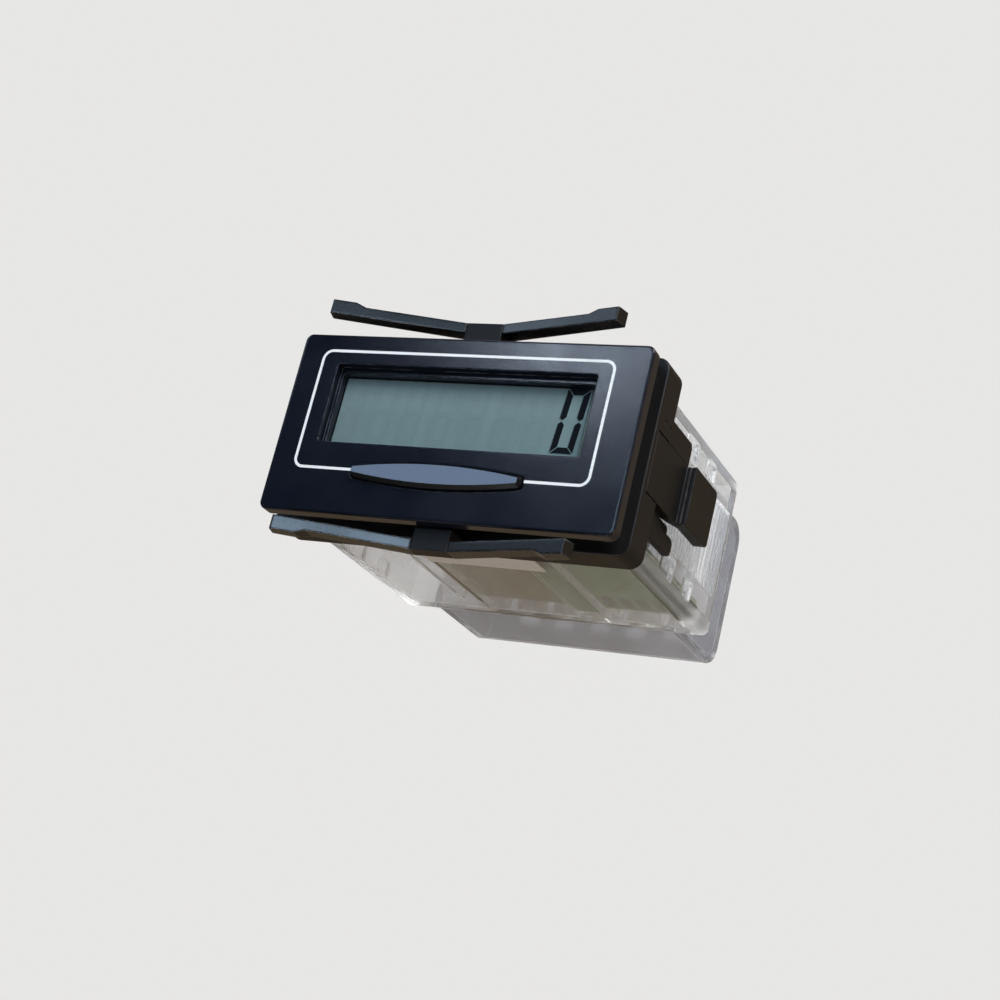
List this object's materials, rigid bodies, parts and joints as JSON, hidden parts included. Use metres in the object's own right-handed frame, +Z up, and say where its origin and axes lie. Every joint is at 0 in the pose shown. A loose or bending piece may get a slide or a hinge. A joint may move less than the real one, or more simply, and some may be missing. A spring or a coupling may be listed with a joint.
{
  "type": "digital counter",
  "caption": "Panel-mount digital counter with a recessed liquid-crystal display, a lens-shaped reset button, a clear rear housing and a slide-on spring clip.",
  "frame": {"origin": "centre of the panel plane, where the back of the bezel meets the panel", "axes": "+X to the right seen from the front, +Y from the front towards the terminals, +Z up with the display upright"},
  "size_m": [0.0512, 0.0578, 0.031],
  "materials": {
    "black_plastic": "fine satin texture",
    "gasket_rubber": "matt",
    "display_film": "grey-green reflective display film, satin",
    "display_glass": "polished",
    "reflecting_film": "matt silver-grey film",
    "white_plastic": "moulded",
    "zebra_rubber": "fine black and grey layers",
    "black_component": "moulded",
    "green_board": "solder mask",
    "component_steel": "drawn",
    "cell_can": "drawn",
    "nickel": "bright nickel plate",
    "clear_plastic": "clear polycarbonate, slightly hazy",
    "label_film": "bare pale film",
    "screw_steel": "plated",
    "key_plastic": "blue-grey, satin",
    "clip_plastic": "black, satin"
  },
  "bodies": {
    "case": {"front_bezel": "black_plastic", "panel_gasket": "gasket_rubber", "display_polariser": "display_film", "lcd_front_glass": "display_glass", "lcd_rear_glass": "display_glass", "lcd_reflector": "reflecting_film", "lcd_holder": "white_plastic", "zebra_strip": "zebra_rubber", "reset_switch": "black_component", "display_board": "green_board", "main_board": "green_board", "board_connector": "black_component", "counter_chip": "black_component", "crystal": "component_steel", "capacitor_1": "component_steel", "capacitor_2": "component_steel", "lithium_cell": "cell_can", "cell_tab_front": "nickel", "cell_tab_rear": "nickel", "rear_housing": "clear_plastic", "rating_label": "label_film", "terminal_block": "clear_plastic", "terminal_cover": "clear_plastic", "terminal_plate_1": "nickel", "terminal_plate_2": "nickel", "terminal_plate_3": "nickel", "terminal_plate_4": "nickel", "terminal_plate_5": "nickel"},
    "reset_button": {"reset_button": "key_plastic", "switch_plunger": "white_plastic"},
    "mounting_clip": {"mounting_clip": "clip_plastic"},
    "spring_arm_top_left": {"spring_arm_top_left": "clip_plastic"},
    "spring_arm_top_right": {"spring_arm_top_right": "clip_plastic"},
    "spring_arm_bottom_left": {"spring_arm_bottom_left": "clip_plastic"},
    "spring_arm_bottom_right": {"spring_arm_bottom_right": "clip_plastic"},
    "release_lever_left": {"release_lever_left": "clip_plastic"},
    "release_lever_right": {"release_lever_right": "clip_plastic"},
    "terminal_screw_1": {"terminal_screw_1": "screw_steel"},
    "terminal_screw_2": {"terminal_screw_2": "screw_steel"},
    "terminal_screw_3": {"terminal_screw_3": "screw_steel"},
    "terminal_screw_4": {"terminal_screw_4": "screw_steel"},
    "terminal_screw_5": {"terminal_screw_5": "screw_steel"}
  },
  "joints": [
    {"name": "reset_button_press", "type": "slide", "parent": "case", "child": "reset_button", "axis": [0, 1, 0], "range_m": [0, 0.0005], "stiffness_N_per_m": 1200, "springref_m": -0.0003},
    {"name": "clip_slide", "type": "slide", "parent": "case", "child": "mounting_clip", "axis": [0, 1, 0], "range_m": [-0.0016, 0.023]},
    {"name": "release_left", "type": "hinge", "parent": "mounting_clip", "child": "release_lever_left", "pos_m": [-0.02427, 0.00348, 0], "axis": [0, 0, 1], "range_deg": [0, 6], "stiffness_Nm_per_rad": 0.3},
    {"name": "release_right", "type": "hinge", "parent": "mounting_clip", "child": "release_lever_right", "pos_m": [0.02427, 0.00348, 0], "axis": [0, 0, -1], "range_deg": [0, 6], "stiffness_Nm_per_rad": 0.3},
    {"name": "spring_arm_top_left_flex", "type": "hinge", "parent": "mounting_clip", "child": "spring_arm_top_left", "pos_m": [-0.00258, 0.00206, 0.01435], "axis": [0, 0, -1], "range_deg": [0, 14.5], "stiffness_Nm_per_rad": 0.4},
    {"name": "spring_arm_top_right_flex", "type": "hinge", "parent": "mounting_clip", "child": "spring_arm_top_right", "pos_m": [0.00258, 0.00206, 0.01435], "axis": [0, 0, 1], "range_deg": [0, 14.5], "stiffness_Nm_per_rad": 0.4},
    {"name": "spring_arm_bottom_left_flex", "type": "hinge", "parent": "mounting_clip", "child": "spring_arm_bottom_left", "pos_m": [-0.00258, 0.00206, -0.01435], "axis": [0, 0, -1], "range_deg": [0, 14.5], "stiffness_Nm_per_rad": 0.4},
    {"name": "spring_arm_bottom_right_flex", "type": "hinge", "parent": "mounting_clip", "child": "spring_arm_bottom_right", "pos_m": [0.00258, 0.00206, -0.01435], "axis": [0, 0, 1], "range_deg": [0, 14.5], "stiffness_Nm_per_rad": 0.4},
    {"name": "terminal_screw_1_turn", "type": "hinge", "parent": "case", "child": "terminal_screw_1", "pos_m": [-0.0112, 0.042, 0.0024], "axis": [0, 1, 0], "range_deg": [0, 720]},
    {"name": "terminal_screw_2_turn", "type": "hinge", "parent": "case", "child": "terminal_screw_2", "pos_m": [-0.0056, 0.042, 0.0024], "axis": [0, 1, 0], "range_deg": [0, 720]},
    {"name": "terminal_screw_3_turn", "type": "hinge", "parent": "case", "child": "terminal_screw_3", "pos_m": [0, 0.042, 0.0024], "axis": [0, 1, 0], "range_deg": [0, 720]},
    {"name": "terminal_screw_4_turn", "type": "hinge", "parent": "case", "child": "terminal_screw_4", "pos_m": [0.0056, 0.042, 0.0024], "axis": [0, 1, 0], "range_deg": [0, 720]},
    {"name": "terminal_screw_5_turn", "type": "hinge", "parent": "case", "child": "terminal_screw_5", "pos_m": [0.0112, 0.042, 0.0024], "axis": [0, 1, 0], "range_deg": [0, 720]}
  ]
}
